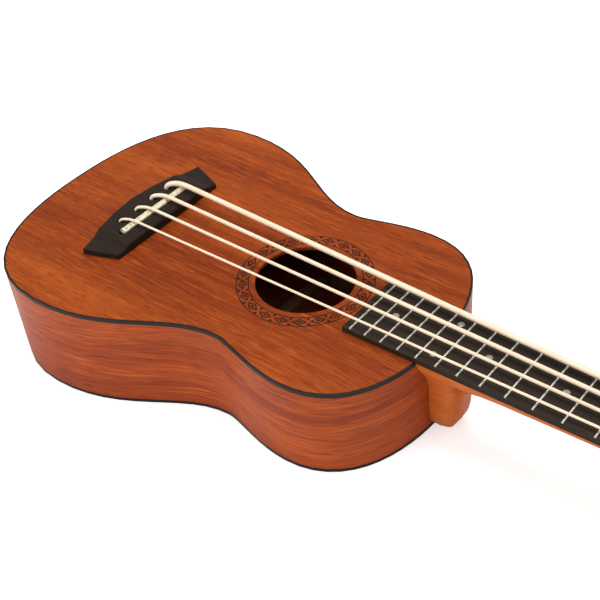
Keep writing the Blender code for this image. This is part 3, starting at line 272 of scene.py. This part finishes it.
# %% [markdown]
# ## Dark wood, bone, strings and metal
# The bridge and fretboard are nearly black and only faintly grained. Bone is cream with brown flecks.
# The strings are soft and matt. The metal is bright, with fine brushing that only changes its roughness.

# %% The other finishes


def dark_wood(name, base, streak_colour, roughness):
    """Nearly black wood with faint straight grain."""
    wood = Finish(name, roughness, specular=0.12)
    grain = wood.noise((18, 420, 420), 5.0, 0.6, 0.2)
    pore = wood.ramp(wood.noise((70, 1900, 1900), 2.0), 0.58, 0.68)
    body = wood.mix(wood.ramp(grain, 0.35, 0.75), base, streak_colour)
    wood.feed("Base Color", wood.mix(pore * 0.5, body, colour(0.004, 0.003, 0.003)))
    wood.feed("Roughness", wood.ramp(grain, 0.2, 0.8) * 0.15 + (roughness - 0.08))
    wood.bump(1 - pore, 0.25, PORE_RELIEF)
    return wood.material


def bone(name):
    """Cream bone with small brown flecks."""
    made = Finish(name, 0.38, coat=0.2)
    cloud = made.noise((160, 160, 160), 3.0)
    fleck = made.ramp(made.noise((520, 330, 520), 3.0, 0.65), 0.53, 0.6)
    body = made.mix(made.ramp(cloud, 0.3, 0.7), colour(0.7, 0.61, 0.42), colour(0.82, 0.76, 0.58))
    made.feed("Base Color", made.mix(fleck * 0.7, body, colour(0.3, 0.17, 0.07)))
    return made.material


def soft_string(name):
    """Matt creamy string with slightly uneven colour."""
    made = Finish(name, 0.5)
    cloud = made.noise((40, 200, 200), 2.0)
    body = made.mix(made.ramp(cloud, 0.3, 0.7), colour(0.92, 0.7, 0.49), colour(0.98, 0.8, 0.6))
    made.feed("Base Color", body)
    return made.material


def bright_metal(name, tint, roughness):
    """Polished metal whose roughness changes slightly along fine lines."""
    made = Finish(name, roughness, 1.0)
    lines = made.noise((300, 2500, 2500), 2.0)
    made.feed("Roughness", made.ramp(lines, 0.3, 0.7) * 0.08 + (roughness - 0.04))
    dimmer = colour(*scaled(tint[:3], 0.92))
    made.feed("Base Color", made.mix(made.ramp(lines, 0.3, 0.7), tint, dimmer))
    return made.material


def pale_wood(name):
    """Bare light wood inside the body."""
    made = Finish(name, 0.75)
    grain = made.noise((9, 300, 300), 5.0, 0.6, 0.3)
    body = made.mix(made.ramp(grain, 0.3, 0.75), colour(0.2, 0.1, 0.045), colour(0.3, 0.17, 0.08))
    made.feed("Base Color", body)
    return made.material


def satin_black(name):
    """Edge binding: black with a trace of wear in its gloss."""
    made = Finish(name, 0.32, specular=0.2)
    cloud = made.noise((30, 60, 60), 3.0)
    made.feed("Roughness", made.ramp(cloud, 0.3, 0.7) * 0.1 + 0.28)
    made.feed("Base Color", made.mix(cloud, colour(0.008, 0.008, 0.008), colour(0.016, 0.014, 0.013)))
    return made.material


FINISHES = {
    "top_wood": TOP.material, "side_wood": SIDE.material, "neck_wood": NECK.material,
    "inner_wood": pale_wood("pale_wood"),
    "black_wood": dark_wood("dark_board_wood", colour(0.021, 0.013, 0.008),
                            colour(0.037, 0.024, 0.016), 0.5),
    "binding": satin_black("satin_black"),
    "bone": bone("cream_bone"),
    "string": soft_string("soft_string"),
    "fret_metal": bright_metal("nickel_silver", colour(0.72, 0.69, 0.62), 0.42),
    "tuner_metal": bright_metal("bright_plating", colour(0.82, 0.82, 0.83), 0.16),
    "pickup": satin_black("pickup_sheath"),
}
BRIDGE_WOOD = dark_wood("dark_bridge_wood", colour(0.016, 0.009, 0.006),
                        colour(0.03, 0.018, 0.012), 0.48)
for row in frame["record"]["subparts"]:
    solid = frame["nodes"][row["node"]]
    solid.material_slots[0].material = FINISHES[row["material_slot"]]
frame["nodes"]["bridge"].material_slots[0].material = BRIDGE_WOOD
frame["nodes"]["back_plate"].material_slots[0].material = BACK.material
print("finishes assigned:", len(FINISHES) + 2)

# %% [markdown]
# ## Smooth shading for the round parts
# The solid parts are made of loose triangles, which show as facets. A copy of each round part has its
# corners merged, and is then shaded smooth up to an angle: wide for the strings, narrow elsewhere.

# %% Smooth copies
MERGE = 0.005 * MM
BODY_ANGLE = 35             # degrees between two faces up to which their shared edge is smooth
TUNER_ANGLE = 40
STRING_ANGLE = 75
BODY_PARTS = ("side_treble", "side_bass", "top_binding", "back_binding", "soundboard", "back_plate",
              "saddle", "saddle_pickup", "output_jack", "neck")
BODY_OF = {node: body for body, nodes in frame["record"]["behaviour"]["bodies"].items() for node in nodes}
SLOT_OF = {row["node"]: row["material_slot"] for row in frame["record"]["subparts"]}
ROUND = {name: BODY_ANGLE for name in BODY_PARTS}
ROUND.update({name: STRING_ANGLE for name in SLOT_OF if SLOT_OF[name] == "string"})
ROUND.update({name: TUNER_ANGLE for name in SLOT_OF if name.startswith("tuner_")})


def deselect():
    """Start from an empty selection."""
    bpy.ops.object.select_all(action="DESELECT")


def smooth_copy(node, angle):
    """A merged and smooth copy that stands for a solid part."""
    solid = frame["nodes"][node]
    twin = solid.copy()
    twin.data = solid.data.copy()
    twin.name = node + "_smooth"
    bpy.context.collection.objects.link(twin)
    twin.parent = None
    twin.matrix_world = Matrix.Identity(4)
    deselect()
    twin.select_set(True)
    bpy.context.view_layer.objects.active = twin
    bpy.ops.mesh.customdata_custom_splitnormals_clear()
    bpy.ops.object.mode_set(mode="EDIT")
    bpy.ops.mesh.select_all(action="SELECT")
    bpy.ops.mesh.remove_doubles(threshold=MERGE)
    bpy.ops.object.mode_set(mode="OBJECT")
    bpy.ops.object.shade_smooth_by_angle(angle=math.radians(angle))
    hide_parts(node)
    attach(twin, BODY_OF[node])


for name, angle in ROUND.items():
    smooth_copy(name, angle)
print("smooth copies:", len(ROUND))

# %% [markdown]
# ## Small pieces
# The dots of the fretboard and the little screws of the tuners are each modelled once from a
# cylinder and copied. Every copy is placed by its spot on the fretboard or on the headstock, and then
# the placing is applied, so that the finished piece sits at the origin like the solid parts.

# %% Helpers for small pieces
SCALE_LENGTH = 514.35 * MM
SEMITONES = 12
EASED_SHARE = 0.2           # width of a disc's eased edge, as a share of its thickness
DRIVE_INSET = 0.5           # rim round a sunk middle, as a share of the radius
FACING_UP = 0.9             # least upward part of the normal of a disc's top face


def fret_x(number):
    """Distance of a fret from the joint of neck and body."""
    return SCALE_LENGTH * (2 ** (-number / SEMITONES) - 0.5)


def disc(name, radius, thick, recess=0.0, sides=32):
    """A disc with eased edges, and with a sunk middle if a recess is given."""
    deselect()
    bpy.ops.mesh.primitive_cylinder_add(vertices=sides, radius=radius, depth=thick)
    made = bpy.context.object
    made.name = name
    if recess:
        bpy.ops.object.mode_set(mode="EDIT")
        bpy.ops.mesh.select_all(action="DESELECT")
        bpy.ops.object.mode_set(mode="OBJECT")
        for face in made.data.polygons:
            face.select = face.normal.z > FACING_UP
        bpy.ops.object.mode_set(mode="EDIT")
        bpy.ops.mesh.inset(thickness=radius * DRIVE_INSET)
        bpy.ops.mesh.extrude_region_move(TRANSFORM_OT_translate={"value": (0, 0, -recess)})
        bpy.ops.object.mode_set(mode="OBJECT")
    ease = made.modifiers.new("ease", "BEVEL")
    ease.width = thick * EASED_SHARE
    ease.segments = 2
    bpy.ops.object.modifier_apply(modifier=ease.name)
    bpy.ops.object.shade_smooth_by_angle(angle=math.radians(BODY_ANGLE))
    return made


def copies(pattern, name, places, material):
    """Copies of a pattern at several places, joined into one piece."""
    made = []
    for place in places:
        twin = pattern.copy()
        twin.data = pattern.data.copy()
        twin.matrix_world = place
        bpy.context.collection.objects.link(twin)
        made.append(twin)
    bpy.data.objects.remove(pattern, do_unlink=True)
    deselect()
    for twin in made:
        twin.select_set(True)
    bpy.context.view_layer.objects.active = made[0]
    bpy.ops.object.join()
    joined = bpy.context.object
    bpy.ops.object.transform_apply(location=True, rotation=True, scale=True)
    joined.name = name
    joined.data.materials.clear()
    joined.data.materials.append(material)
    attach(joined, BODY)
    print(name, "copies:", len(places))


# %% [markdown]
# Dots lie halfway between two frets: one behind the third, fifth, seventh, tenth and fifteenth fret and
# two behind the twelfth. They stand a hair proud, as inlays do before the last sanding.

# %% Position dots
BOARD_TOP_Z = 4.0 * MM
DOT_RADIUS = 2.5 * MM
DOT_THICK = 0.4 * MM
DOT_PROUD = 0.06 * MM
TWIN_DOT_Y = 17.4 * MM


def pearl(name):
    """Pale shell with soft clouds."""
    made = Finish(name, 0.22, coat=0.3)
    cloud = made.noise((350, 350, 350), 4.0, 0.6, 1.5)
    body = made.mix(made.ramp(cloud, 0.3, 0.7), colour(0.2, 0.2, 0.18), colour(0.38, 0.37, 0.33))
    made.feed("Base Color", body)
    return made.material


def dot_place(fret, y=0.0):
    """Where a dot lies between its fret and the one before."""
    x = (fret_x(fret) + fret_x(fret - 1)) / 2
    return BOARD_FRAME @ Matrix.Translation((x, y, BOARD_TOP_Z + DOT_PROUD - DOT_THICK / 2))


dot_places = [dot_place(3), dot_place(5), dot_place(7), dot_place(10), dot_place(15),
              dot_place(12, TWIN_DOT_Y), dot_place(12, -TWIN_DOT_Y)]
copies(disc("dot", DOT_RADIUS, DOT_THICK), "position_dots", dot_places, pearl("dot_pearl"))

# %% [markdown]
# Players see the edge of the fretboard, so small dots repeat the marks there, on the thick-string side.

# %% Side dots
SIDE_DOT_RADIUS = 1.0 * MM
BOARD_HALF_JOINT = 28.4 * MM
BOARD_HALF_NUT = 22.0 * MM
TWIN_SHIFT = 4 * MM


def side_dot_place(fret, shift=0.0):
    """Where a small dot lies on the board's edge."""
    x = (fret_x(fret) + fret_x(fret - 1)) / 2 + shift
    y = BOARD_HALF_JOINT + (BOARD_HALF_NUT - BOARD_HALF_JOINT) * x / fret_x(0)
    lean = Matrix.Rotation(-math.pi / 2, 4, "X")
    return BOARD_FRAME @ Matrix.Translation((x, y - DOT_THICK / 2 + DOT_PROUD, BOARD_TOP_Z / 2)) @ lean


side_places = [side_dot_place(3), side_dot_place(5), side_dot_place(7), side_dot_place(10),
               side_dot_place(12, -TWIN_SHIFT), side_dot_place(12, TWIN_SHIFT), side_dot_place(15)]
copies(disc("side_dot", SIDE_DOT_RADIUS, DOT_THICK, sides=20), "side_dots", side_places,
       FINISHES["bone"])

# %% [markdown]
# Each tuner plate is held on the back of the headstock by two small screws with a sunk drive.

# %% Tuner screws
POST_Y = 23.0 * MM
TUNER_POSTS = ((45.0 * MM, 1), (100.0 * MM, 1), (100.0 * MM, -1), (45.0 * MM, -1))
PLATE_LOW_Z = -16.9 * MM
SCREW_X = -8.6 * MM
SCREW_Y = 6.8 * MM
SCREW_HIGH = 1.2 * MM
SCREW_SUNK = 0.1 * MM
SCREW_RADIUS = 1.9 * MM
SCREW_DRIVE_DEEP = 0.6 * MM
SCREW_Z = PLATE_LOW_Z - SCREW_HIGH / 2 + SCREW_SUNK
screw_places = []
for post_x, side in TUNER_POSTS:
    for direction in (-1, 1):
        spot = (post_x + SCREW_X, side * POST_Y + direction * SCREW_Y, SCREW_Z)
        screw_places.append(HEAD_FRAME @ Matrix.Translation(spot) @ Matrix.Rotation(math.pi, 4, "X"))
copies(disc("screw", SCREW_RADIUS, SCREW_HIGH, recess=SCREW_DRIVE_DEEP, sides=24), "tuner_screws",
       screw_places, FINISHES["tuner_metal"])

# %% [markdown]
# ## Camera
# The camera stands above the thin-string side near the neck and looks down across the soundboard. Its
# place and turn are given in the soundboard's frame and turned with it.

# %% Camera
LENS = 64.516
SENSOR = 36.0
CAMERA_AT = Vector((289.663, -452.111, 507.007)) * MM
RIGHT = Vector((0.78004291, 0.62097418, -0.07696840))
DOWN = Vector((0.36414951, -0.55053964, -0.75119987))
AHEAD = Vector((-0.50884987, 0.55794012, -0.65557198))
camera_data = bpy.data.cameras.new("camera")
camera_data.lens = LENS
camera_data.sensor_width = SENSOR
camera_data.clip_start = 0.01
camera = bpy.data.objects.new("camera", camera_data)
turn = Matrix((RIGHT, -DOWN, -AHEAD)).transposed().to_4x4()
camera.matrix_world = BOARD_FRAME @ Matrix.Translation(CAMERA_AT) @ turn
bpy.context.collection.objects.link(camera)
bpy.context.scene.camera = camera
print("camera height:", round(camera.matrix_world.translation.z, 3))

# %% [markdown]
# ## Studio
# A pale floor, a white world and three large soft lamps: the main one high above, a low one that reaches
# the sides and the heel from the thin-string side, and a weak one from the tail. None stands where the
# soundboard would mirror it to the camera, so that the wood keeps its full colour. The floor is lifted to
# white only where the camera looks straight at it, so the light on the instrument doesn't change.

# %% Floor, world and lamps
FLOOR_HALF = 3.0
FLOOR_DROP = 0.3 * MM
BLACK = colour(0.0, 0.0, 0.0)
WHITE = colour(1.0, 1.0, 1.0)
FLOOR_LIFT = colour(0.55, 0.55, 0.55)
AROUND_STRENGTH = 0.55
deselect()
bpy.ops.mesh.primitive_plane_add(size=2 * FLOOR_HALF, location=(0, 0, -FLOOR_DROP))
floor = bpy.context.object
floor.name = "floor"
floor_finish = Finish("pale_floor", 0.9)
floor_finish.shader.inputs["Base Color"].default_value = colour(0.92, 0.92, 0.92)
floor_finish.shader.inputs["Specular IOR Level"].default_value = 0.1
floor_finish.shader.inputs["Emission Strength"].default_value = 1.0
to_camera = floor_finish.node("ShaderNodeLightPath", output="Is Camera Ray")
floor_finish.feed("Emission Color", floor_finish.mix(to_camera, BLACK, FLOOR_LIFT))
floor.data.materials.append(floor_finish.material)

world = bpy.data.worlds.new("studio")
bpy.context.scene.world = world
world.use_nodes = True
backdrop = world.node_tree.nodes["Background"]
backdrop.inputs["Color"].default_value = WHITE
around = world.node_tree.nodes.new("ShaderNodeBackground")
around.inputs["Color"].default_value = WHITE
around.inputs["Strength"].default_value = AROUND_STRENGTH
seen = world.node_tree.nodes.new("ShaderNodeLightPath")
choice = world.node_tree.nodes.new("ShaderNodeMixShader")
world.node_tree.links.new(seen.outputs["Is Camera Ray"], choice.inputs[0])
world.node_tree.links.new(around.outputs[0], choice.inputs[1])
world.node_tree.links.new(backdrop.outputs[0], choice.inputs[2])
world.node_tree.links.new(choice.outputs[0], world.node_tree.nodes["World Output"].inputs["Surface"])


def lamp(name, place, target, size, power):
    """A square soft lamp aimed at a point."""
    data = bpy.data.lights.new(name, "AREA")
    data.size = size
    data.energy = power
    made = bpy.data.objects.new(name, data)
    made.location = place
    made.rotation_euler = (Vector(target) - Vector(place)).to_track_quat("-Z", "Y").to_euler()
    bpy.context.collection.objects.link(made)


lamp("main_lamp", (0.1, 0.25, 1.5), (0.05, 0.0, 0.05), 0.9, 15.0)
lamp("side_lamp", (-0.35, -1.5, 0.5), (0.0, 0.0, 0.05), 0.9, 9.0)
lamp("tail_lamp", (-1.5, -0.5, 0.8), (-0.1, 0.0, 0.05), 0.8, 0.9)
bpy.context.scene.view_settings.view_transform = "Standard"
print("lamps: 3")

# %% The end of the scene
print("scene built")
